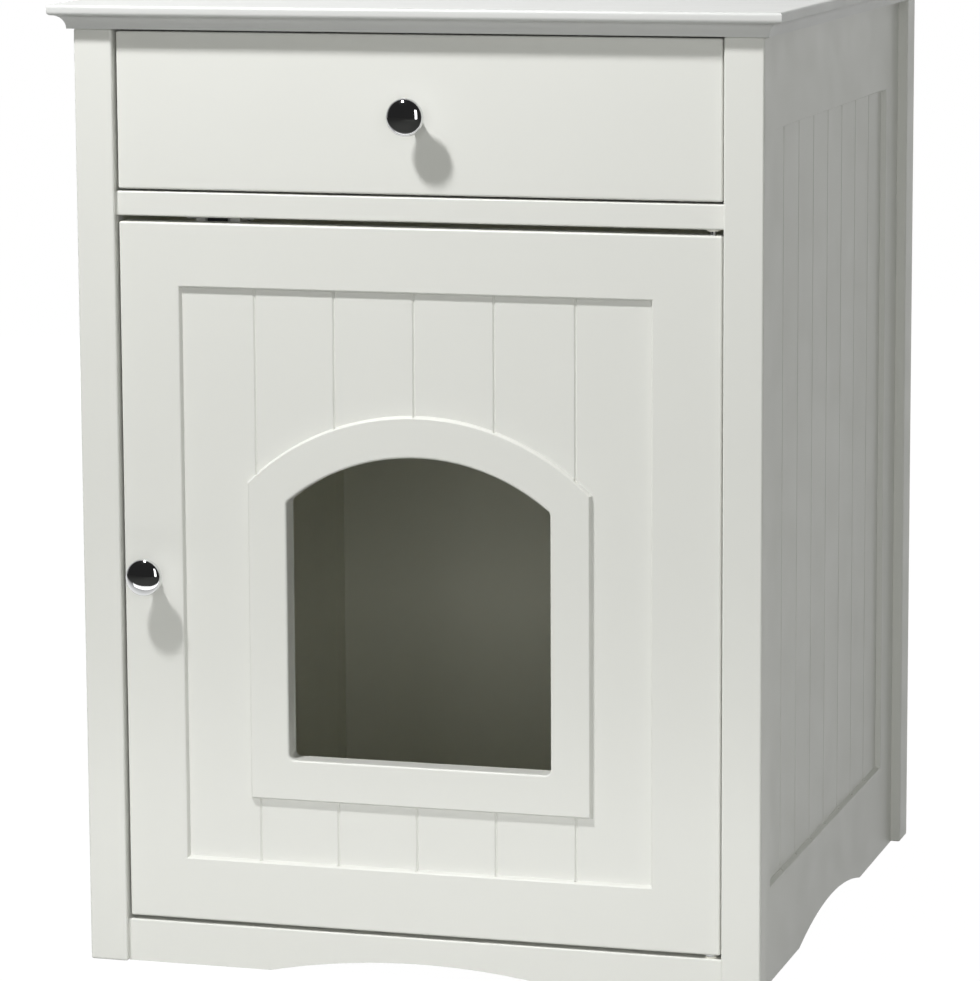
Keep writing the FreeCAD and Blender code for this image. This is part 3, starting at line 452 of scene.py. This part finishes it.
class CABINET_OT_painted_boards(bpy.types.Operator):
    """Give the boards their satin paint and the two hardboard sheets a white and a raw side"""
    bl_idname = "cabinet.painted_boards"
    bl_label = "Painted boards"

    def execute(self, context):
        settings = context.scene.cabinet_paint
        # The boards' paint carries painted shade on the faces inside.
        give_finish(PAINTED_BOARDS, satin_paint("satin_paint", settings, settings.colour,
                                                inner=settings.inside_shade_colour))
        drawer_colour = shade(settings.colour, DRAWER_SHADE)
        give_finish(DRAWER_BOARDS, satin_paint("drawer_paint", settings, drawer_colour,
                                               DRAWER_COARSE))
        rear_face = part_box("back_panel")[1][1]
        give_finish(["back_panel"], hardboard_sheet("back_sheet", settings,
                                                    rear_face - RAW_DEPTH, True, "Y"))
        lower_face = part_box("drawer_bottom")[0][2]
        give_finish(["drawer_bottom"], hardboard_sheet("drawer_sheet", settings,
                                                       lower_face + RAW_DEPTH, False, "Z"))
        return {"FINISHED"}


# Edge moulding of the top board in mm: width and height of the cove, then the lip's two roundings.
COVE_WIDTH, COVE_HEIGHT = 7.5, 8.9
LIP_UNDER_R, LIP_TOP_R = 2.4, 2.5
MOULDING_STEPS = 8


def moulding_outline(thickness):
    """(height, inset) of the board's edge from its underside to its top face, in mm."""
    quarter = [math.pi / 2 * k / MOULDING_STEPS for k in range(MOULDING_STEPS + 1)]
    cove = [(COVE_HEIGHT * math.sin(a), LIP_UNDER_R + COVE_WIDTH * math.cos(a)) for a in quarter]
    under = [(COVE_HEIGHT + LIP_UNDER_R * (1 - math.cos(a)), LIP_UNDER_R * (1 - math.sin(a)))
             for a in quarter[1:]]
    over = [(thickness - LIP_TOP_R * (1 - math.sin(a)), LIP_TOP_R * (1 - math.cos(a)))
            for a in quarter]
    return cove + under + over


class CABINET_OT_top_board(bpy.types.Operator):
    """Build the top board with its moulded edge, ring by ring from the underside"""
    bl_idname = "cabinet.top_board"
    bl_label = "Moulded top board"

    def execute(self, context):
        settings = context.scene.cabinet_paint
        low, high = (Vector(corner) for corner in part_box("top_panel"))
        size = high - low
        outline = moulding_outline(size.z / MM)
        first_inset = outline[0][1] * MM
        clear_selection()
        bpy.ops.mesh.primitive_plane_add(size=1)
        board = bpy.context.active_object
        board.scale = (size.x - 2 * first_inset, size.y - 2 * first_inset, 1)
        bpy.ops.object.transform_apply(location=False, rotation=False, scale=True)
        bpy.ops.object.mode_set(mode="EDIT")
        bpy.ops.mesh.select_all(action="SELECT")
        for (height, inset), (next_height, next_inset) in zip(outline, outline[1:]):
            bpy.ops.mesh.extrude_region_move(
                TRANSFORM_OT_translate={"value": (0, 0, (next_height - height) * MM)})
            scale = [(side - 2 * next_inset * MM) / (side - 2 * inset * MM)
                     for side in (size.x, size.y)]
            bpy.ops.transform.resize(value=(*scale, 1), center_override=(0, 0, 0))
        bpy.ops.mesh.select_all(action="SELECT")
        bpy.ops.mesh.normals_make_consistent(inside=False)
        bpy.ops.object.mode_set(mode="OBJECT")
        bpy.ops.object.shade_smooth_by_angle(angle=SMOOTH_BELOW)
        centre = (low + high) / 2
        board.location = (centre.x, centre.y, low.z)
        settle(board, "moulded_top", "cabinet")
        # The top board wears a darker, cooler copy of the paint: painted shade for how the light
        # falls on it.
        board.data.materials.append(satin_paint("top_paint", settings, settings.top_board_shade_colour))
        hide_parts("top_panel")
        return {"FINISHED"}


class CABINET_OT_running_gear(bpy.types.Operator):
    """Give the slides, rollers, bushes, pins, cams, dowels and the catch their finishes"""
    bl_idname = "cabinet.running_gear"
    bl_label = "Running gear and joinery"

    def execute(self, context):
        give_finish(SLIDES, moulded_plastic("white_epoxy", (0.80, 0.80, 0.775), 0.3, 700.0))
        give_finish(NYLON_PIECES, moulded_plastic("nylon", (0.78, 0.77, 0.70), 0.42, 900.0))
        give_finish(["catch_housing"],
                    moulded_plastic("catch_plastic", (0.78, 0.78, 0.76), 0.38, 800.0))
        give_finish(STEEL_PIECES,
                    zinc_steel("zinc_plate", (0.50, 0.51, 0.52), (0.66, 0.66, 0.65), 0.3))
        give_finish(["cam_housings", "drawer_cam_housings"],
                    zinc_steel("die_cast_zinc", (0.44, 0.44, 0.45), (0.58, 0.58, 0.59), 0.42))
        give_finish(["wood_dowels", "drawer_dowels"], beech_wood("beech"))
        give_finish(["catch_magnet"], ferrite_between_poles("catch_poles"))
        return {"FINISHED"}


# Knob outline from the face outwards, (distance, radius) in mm: neck, flared back, rim, low dome.
KNOB_OUTLINE = [(0.0, 3.9), (0.5, 3.9), (2.0, 3.7), (5.0, 3.75), (8.0, 4.3), (11.0, 5.6), (13.5, 7.6),
                (15.5, 9.8), (17.0, 11.4), (18.2, 12.2), (19.2, 12.4), (20.3, 12.35), (21.2, 12.1),
                (21.8, 11.8), (22.5, 10.95), (23.5, 9.2), (24.3, 7.2), (24.9, 5.3), (25.3, 3.33),
                (25.55, 1.36)]
KNOB_SMOOTHING = 2


def turned_knob(node, body, chrome, sides):
    """Knob drawn out ring by ring along its outline, standing where the CAD knob stands."""
    low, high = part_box(node)
    clear_selection()
    bpy.ops.mesh.primitive_circle_add(vertices=sides, radius=KNOB_OUTLINE[0][1] * MM,
                                      fill_type="NOTHING")
    knob = bpy.context.active_object
    bpy.ops.object.mode_set(mode="EDIT")
    bpy.ops.mesh.select_all(action="SELECT")
    for (out, radius), (next_out, next_radius) in zip(KNOB_OUTLINE, KNOB_OUTLINE[1:]):
        bpy.ops.mesh.extrude_region_move(
            TRANSFORM_OT_translate={"value": (0, 0, (next_out - out) * MM)})
        scale = next_radius / radius
        bpy.ops.transform.resize(value=(scale, scale, 1), center_override=(0, 0, next_out * MM))
    bpy.ops.mesh.edge_face_add()
    bpy.ops.mesh.select_all(action="DESELECT")
    bpy.ops.mesh.select_non_manifold(extend=False, use_wire=False, use_boundary=True,
                                     use_multi_face=False, use_non_contiguous=False, use_verts=False)
    bpy.ops.mesh.edge_face_add()
    bpy.ops.mesh.select_all(action="SELECT")
    bpy.ops.mesh.normals_make_consistent(inside=False)
    bpy.ops.object.mode_set(mode="OBJECT")
    smooth = knob.modifiers.new("smooth", "SUBSURF")
    smooth.levels = smooth.render_levels = KNOB_SMOOTHING
    bpy.ops.object.modifier_apply(modifier=smooth.name)
    bpy.ops.object.shade_smooth()
    centre = (low + high) / 2
    place_along(knob, (centre[0], high[1], centre[2]), (0, -1, 0))
    settle(knob, node.replace("_knob", "_pull"), body)
    knob.data.materials.append(chrome)
    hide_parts(node)


class CABINET_OT_knobs(bpy.types.Operator):
    """Turn the two chrome knobs"""
    bl_idname = "cabinet.knobs"
    bl_label = "Chrome knobs"

    def execute(self, context):
        settings = context.scene.cabinet_fittings
        chrome = plated_chrome("plated_chrome", settings)
        turned_knob("drawer_knob", "drawer", chrome, settings.knob_sides)
        turned_knob("door_knob", "door", chrome, settings.knob_sides)
        return {"FINISHED"}


# Screws: sides of the head, then shares. The cross arm's thickness is a share of its length, the
# recess and the head's rounding of the head's height, and the point's length and end of the
# shank's radius.
SCREW_SIDES = 24
CROSS_ARM = 0.24
RECESS_DEPTH = 0.6
HEAD_ROUNDING, ROUNDING_STEPS = 0.6, 4
POINT_LENGTH, POINT_END = 1.5, 0.3
# A face looks down where its normal's Z is below LOOKS_DOWN. TOUCH is a rounding error, in metres.
LOOKS_DOWN = -0.9
TOUCH = 1e-6


def cross_cutter(width, depth, head_z):
    """Upright cross, centred on the top of a screw head, that cuts its recess."""
    bpy.ops.mesh.primitive_cube_add(size=1)
    bar = bpy.context.active_object
    bar.scale = (width, width * CROSS_ARM, depth * 2)
    bar.location = (0, 0, head_z)
    bpy.ops.object.transform_apply(location=True, rotation=False, scale=True)
    bpy.ops.object.mode_set(mode="EDIT")
    bpy.ops.mesh.select_all(action="SELECT")
    bpy.ops.mesh.duplicate()
    bpy.ops.transform.rotate(value=math.pi / 2, orient_axis="Z", center_override=(0, 0, 0))
    bpy.ops.object.mode_set(mode="OBJECT")
    return bar


def cross_head_screw(length, head_r, head_t, shank_r, recess):
    """Screw along -Z; its rounded head with the cross recess stands above z = 0."""
    point = shank_r * POINT_LENGTH
    clear_selection()
    bpy.ops.mesh.primitive_cylinder_add(vertices=SCREW_SIDES, radius=head_r, depth=head_t,
                                        location=(0, 0, head_t / 2))
    screw = bpy.context.active_object
    bpy.ops.object.transform_apply(location=True, rotation=False, scale=False)
    bpy.ops.object.mode_set(mode="EDIT")
    bpy.ops.mesh.select_all(action="DESELECT")
    bpy.ops.object.mode_set(mode="OBJECT")
    for face in screw.data.polygons:
        face.select = face.normal.z < LOOKS_DOWN
    bpy.ops.object.mode_set(mode="EDIT")
    bpy.ops.mesh.inset(thickness=head_r - shank_r, depth=0)
    bpy.ops.mesh.extrude_region_move(
        TRANSFORM_OT_translate={"value": (0, 0, -(length - head_t - point))})
    bpy.ops.mesh.extrude_region_move(TRANSFORM_OT_translate={"value": (0, 0, -point)})
    bpy.ops.transform.resize(value=(POINT_END, POINT_END, 1), center_override=(0, 0, 0))
    bpy.ops.mesh.select_all(action="DESELECT")
    bpy.ops.object.mode_set(mode="OBJECT")
    for edge in screw.data.edges:
        ends = [screw.data.vertices[v].co.z for v in edge.vertices]
        edge.select = min(ends) > head_t - TOUCH
    bpy.ops.object.mode_set(mode="EDIT")
    bpy.ops.mesh.bevel(offset=head_t * HEAD_ROUNDING, segments=ROUNDING_STEPS)
    bpy.ops.object.mode_set(mode="OBJECT")
    cutter = cross_cutter(head_r * 2 * recess, head_t * RECESS_DEPTH, head_t)
    bpy.context.view_layer.objects.active = screw
    cut = screw.modifiers.new("recess", "BOOLEAN")
    cut.object = cutter
    cut.operation = "DIFFERENCE"
    cut.use_self = True
    bpy.ops.object.modifier_apply(modifier=cut.name)
    bpy.data.objects.remove(cutter)
    bpy.ops.object.shade_smooth_by_angle(angle=SMOOTH_BELOW)
    return screw


def copies_at(screw, places, name, body, node, steel):
    """Copy one screw to every place, join the copies and let them stand for the CAD node."""
    copies = []
    for start, direction in places:
        copy = screw.copy()
        copy.data = screw.data.copy()
        bpy.context.collection.objects.link(copy)
        place_along(copy, start, direction)
        copies.append(copy)
    clear_selection()
    for copy in copies:
        copy.select_set(True)
    bpy.context.view_layer.objects.active = copies[0]
    if len(copies) > 1:
        bpy.ops.object.join()
    piece = bpy.context.active_object
    settle(piece, name, body)
    piece.data.materials.clear()
    piece.data.materials.append(steel)
    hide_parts(node)


class CABINET_OT_screws(bpy.types.Operator):
    """Model the screws with cross-recess heads"""
    bl_idname = "cabinet.screws"
    bl_label = "Cross-head screws"

    def execute(self, context):
        settings = context.scene.cabinet_fittings
        steel = zinc_steel("bright_screw", (0.56, 0.56, 0.55), (0.70, 0.70, 0.68), 0.26)
        for node, (body, facing, head_t, shank_r) in SCREW_NODES.items():
            places = []
            for low, high in solid_boxes(node):
                middle = (low + high) / 2
                if facing == "in":
                    out = Vector((-math.copysign(1, middle.x), 0, 0))
                elif facing == "out":
                    out = Vector((math.copysign(1, middle.x), 0, 0))
                else:
                    out = Vector(facing)
                half = Vector([abs(a) for a in out]).dot((high - low) / 2)
                places.append((middle + out * (half - head_t * MM), out))
            # the screws of one node are alike, so the last one's box gives their size
            head_r = min(high - low) / 2
            screw = cross_head_screw(2 * half, head_r, head_t * MM, shank_r * MM, settings.recess)
            copies_at(screw, places, node.replace("screw", "cross_screw"), body, node, steel)
            bpy.data.objects.remove(screw)
        return {"FINISHED"}


# studio

# Each lamp: the setting of its power, its shape and size, its place and what it points at, in
# metres, and whether the metal mirrors it.
LAMPS = {
    "key_lamp": ("key_power", "DISK", (0.15,), (-0.465, -0.985, 1.69), (0, -0.24, 0.33), True),
    "front_softbox": ("front_power", "RECTANGLE", (1.6, 1.6), (0.5, -3.3, 0.6),
                      (0, -0.2, 0.3), False),
    "side_softbox": ("side_power", "RECTANGLE", (0.45, 1.6), (1.45, -2.55, 0.95),
                     (0, -0.2, 0.4), True),
    "rear_softbox": ("rear_power", "RECTANGLE", (1.4, 1.0), (-1.7, 2.6, 0.7),
                     (0, 0.1, 0.35), False),
    "right_softbox": ("right_power", "RECTANGLE", (1.0, 1.0), (2.6, 1.1, 0.6),
                      (0.2, 0.1, 0.35), False),
    "low_card": ("card_power", "RECTANGLE", (1.0, 0.1), (0, -0.47, 0.05), (0, -0.24, 0.05), True),
}
# Light from all around: its tint, and its strength from the sides and below and from above, as
# shares of the setting.
ROOM_TINT = (0.965, 1.0, 0.87)
FILL_LEVEL, FILL_ABOVE = 0.9, 1.0
# The camera and the metal see the floor as white light with some of the lit floor and its shadow.
FLOOR_SIZE = 14
FLOOR_COLOUR = (0.28, 0.285, 0.27)
WHITE_GLOW = 1.13
WHITE_SHARE = 0.88
# The metal sees floor and backdrop dark on the camera's side. They turn white towards the back,
# the floor between these two places and the backdrop between these two directions.
DARK_SIDE = 0.02
FLOOR_FADE = (-0.62, -0.3)
BACKDROP_FADE = (-0.25, 0.3)
SENSOR_WIDTH = 36
CAMERA_REACH = 50
CAMERA_PLACE = (0.8470, -2.9704, 0.7893)
CAMERA_TARGET = (0.0503, -0.2402, 0.3284)
CAMERA_ROLL = math.radians(-0.28)


def add_lamp(name, power, shape, size, place, target, in_metal):
    """Area lamp that the camera doesn't see."""
    data = bpy.data.lights.new(name, "AREA")
    data.shape = shape
    data.size = size[0]
    if shape == "RECTANGLE":
        data.size_y = size[1]
    data.energy = power
    lamp = bpy.data.objects.new(name, data)
    bpy.context.collection.objects.link(lamp)
    lamp.location = place
    lamp.rotation_euler = (Vector(target) - Vector(place)).to_track_quat("-Z", "Y").to_euler()
    lamp.visible_camera = False
    lamp.visible_glossy = in_metal


def ray_is_seen(nodes, links):
    """1 for camera, glossy and transmission rays."""
    path = nodes.new("ShaderNodeLightPath")
    first = nodes.new("ShaderNodeMath")
    first.operation = "MAXIMUM"
    links.new(path.outputs["Is Camera Ray"], first.inputs[0])
    links.new(path.outputs["Is Glossy Ray"], first.inputs[1])
    second = nodes.new("ShaderNodeMath")
    second.operation = "MAXIMUM"
    links.new(first.outputs["Value"], second.inputs[0])
    links.new(path.outputs["Is Transmission Ray"], second.inputs[1])
    return second.outputs["Value"]


def seen_brightness(nodes, links, in_metal, to_camera=1.0):
    """One strength for the camera, another for glossy and transmission rays."""
    path = nodes.new("ShaderNodeLightPath")
    mix = nodes.new("ShaderNodeMix")
    links.new(path.outputs["Is Camera Ray"], mix.inputs["Factor"])
    links.new(in_metal, mix.inputs["A"])
    mix.inputs["B"].default_value = to_camera
    return mix.outputs["Result"]


class CABINET_OT_studio(bpy.types.Operator):
    """Set up the floor, the white background, the lamps and the camera"""
    bl_idname = "cabinet.studio"
    bl_label = "Studio and camera"

    def execute(self, context):
        scene = context.scene
        settings = scene.cabinet_stage
        scene.view_settings.view_transform = "Standard"
        self.make_floor()
        self.make_world(scene, settings.fill)
        for name, (power, *lamp) in LAMPS.items():
            add_lamp(name, getattr(settings, power), *lamp)
        self.make_camera(scene, settings)
        return {"FINISHED"}

    def make_floor(self):
        """Pale floor: white to the camera, and in the metal white near the cabinet."""
        clear_selection()
        bpy.ops.mesh.primitive_plane_add(size=FLOOR_SIZE)
        floor = bpy.context.active_object
        floor.name = "studio_floor"
        material = bpy.data.materials.new("studio_floor")
        material.use_nodes = True
        nodes = material.node_tree.nodes
        links = material.node_tree.links
        nodes.clear()
        matt = nodes.new("ShaderNodeBsdfDiffuse")
        matt.inputs["Color"].default_value = (*FLOOR_COLOUR, 1)
        where = nodes.new("ShaderNodeTexCoord")
        parts = nodes.new("ShaderNodeSeparateXYZ")
        links.new(where.outputs["Object"], parts.inputs["Vector"])
        sheet = nodes.new("ShaderNodeMapRange")
        links.new(parts.outputs["Y"], sheet.inputs["Value"])
        sheet.inputs["From Min"].default_value = FLOOR_FADE[0]
        sheet.inputs["From Max"].default_value = FLOOR_FADE[1]
        sheet.inputs["To Min"].default_value = DARK_SIDE
        sheet.inputs["To Max"].default_value = 1.0
        glow = nodes.new("ShaderNodeEmission")
        links.new(seen_brightness(nodes, links, sheet.outputs["Result"], WHITE_GLOW),
                  glow.inputs["Strength"])
        share = nodes.new("ShaderNodeMath")
        share.operation = "MULTIPLY"
        links.new(ray_is_seen(nodes, links), share.inputs[0])
        share.inputs[1].default_value = WHITE_SHARE
        mix = nodes.new("ShaderNodeMixShader")
        links.new(share.outputs["Value"], mix.inputs["Fac"])
        links.new(matt.outputs["BSDF"], mix.inputs[1])
        links.new(glow.outputs["Emission"], mix.inputs[2])
        output = nodes.new("ShaderNodeOutputMaterial")
        links.new(mix.outputs["Shader"], output.inputs["Surface"])
        floor.data.materials.append(material)

    def make_world(self, scene, fill):
        """White backdrop; the metal sees it behind the cabinet and a dim room in front."""
        world = bpy.data.worlds.new("studio")
        scene.world = world
        world.use_nodes = True
        nodes = world.node_tree.nodes
        links = world.node_tree.links
        back = nodes["Background"]
        where = nodes.new("ShaderNodeTexCoord")
        parts = nodes.new("ShaderNodeSeparateXYZ")
        links.new(where.outputs["Generated"], parts.inputs["Vector"])
        room = nodes.new("ShaderNodeMapRange")
        links.new(parts.outputs["Y"], room.inputs["Value"])
        room.inputs["From Min"].default_value = BACKDROP_FADE[0]
        room.inputs["From Max"].default_value = BACKDROP_FADE[1]
        room.inputs["To Min"].default_value = DARK_SIDE
        room.inputs["To Max"].default_value = 1.0
        above = nodes.new("ShaderNodeMapRange")
        links.new(parts.outputs["Z"], above.inputs["Value"])
        above.inputs["To Min"].default_value = fill * FILL_LEVEL
        above.inputs["To Max"].default_value = fill * FILL_ABOVE
        strength = nodes.new("ShaderNodeMix")
        links.new(ray_is_seen(nodes, links), strength.inputs["Factor"])
        links.new(above.outputs["Result"], strength.inputs["A"])
        links.new(seen_brightness(nodes, links, room.outputs["Result"]), strength.inputs["B"])
        links.new(strength.outputs["Result"], back.inputs["Strength"])
        path = nodes.new("ShaderNodeLightPath")
        tint = nodes.new("ShaderNodeMix")
        tint.data_type = "RGBA"
        links.new(path.outputs["Is Diffuse Ray"], tint.inputs["Factor"])
        tint.inputs["A"].default_value = (1, 1, 1, 1)
        tint.inputs["B"].default_value = (*ROOM_TINT, 1)
        links.new(tint.outputs["Result"], back.inputs["Color"])

    def make_camera(self, scene, settings):
        """Camera at the photo's viewpoint, turned a little about its own axis."""
        data = bpy.data.cameras.new("camera")
        data.sensor_width = SENSOR_WIDTH
        data.sensor_fit = "HORIZONTAL"
        data.lens = settings.lens
        data.clip_end = CAMERA_REACH
        camera = bpy.data.objects.new("camera", data)
        bpy.context.collection.objects.link(camera)
        place = Vector(CAMERA_PLACE)
        target = Vector(CAMERA_TARGET)
        forward = (target - place).normalized()
        right = forward.cross(Vector((0, 0, 1))).normalized()
        up = right.cross(forward)
        image_x = right * math.cos(CAMERA_ROLL) + up * math.sin(CAMERA_ROLL)
        image_y = image_x.cross(forward)
        rotation = Matrix((image_x, image_y, -forward)).transposed().to_4x4()
        camera.matrix_world = Matrix.Translation(place) @ rotation
        scene.camera = camera


class CABINET_PT_panel(bpy.types.Panel):
    """Sidebar panel with the cabinet's pieces and settings"""
    bl_label = "Cat litter box cabinet"
    bl_idname = "CABINET_PT_panel"
    bl_space_type = "VIEW_3D"
    bl_region_type = "UI"
    bl_category = "Cabinet"

    def draw(self, context):
        layout = self.layout
        for group in (context.scene.cabinet_paint, context.scene.cabinet_fittings,
                      context.scene.cabinet_stage):
            box = layout.box()
            for name in group.__annotations__:
                box.prop(group, name)
        for operator in OPERATORS:
            layout.operator(operator.bl_idname)


SETTINGS = {"cabinet_paint": PaintSettings, "cabinet_fittings": FittingSettings,
            "cabinet_stage": StageSettings}
OPERATORS = (CABINET_OT_painted_boards, CABINET_OT_top_board, CABINET_OT_running_gear,
             CABINET_OT_knobs, CABINET_OT_screws, CABINET_OT_studio)


def register():
    for name, group in SETTINGS.items():
        bpy.utils.register_class(group)
        setattr(bpy.types.Scene, name, bpy.props.PointerProperty(type=group))
    for operator in OPERATORS:
        bpy.utils.register_class(operator)
    bpy.utils.register_class(CABINET_PT_panel)


def unregister():
    bpy.utils.unregister_class(CABINET_PT_panel)
    for operator in reversed(OPERATORS):
        bpy.utils.unregister_class(operator)
    for name, group in SETTINGS.items():
        delattr(bpy.types.Scene, name)
        bpy.utils.unregister_class(group)


def main():
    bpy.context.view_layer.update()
    register()
    bpy.ops.cabinet.painted_boards()
    bpy.ops.cabinet.top_board()
    bpy.ops.cabinet.running_gear()
    bpy.ops.cabinet.knobs()
    bpy.ops.cabinet.screws()
    bpy.ops.cabinet.studio()


if __name__ == "__main__":
    main()
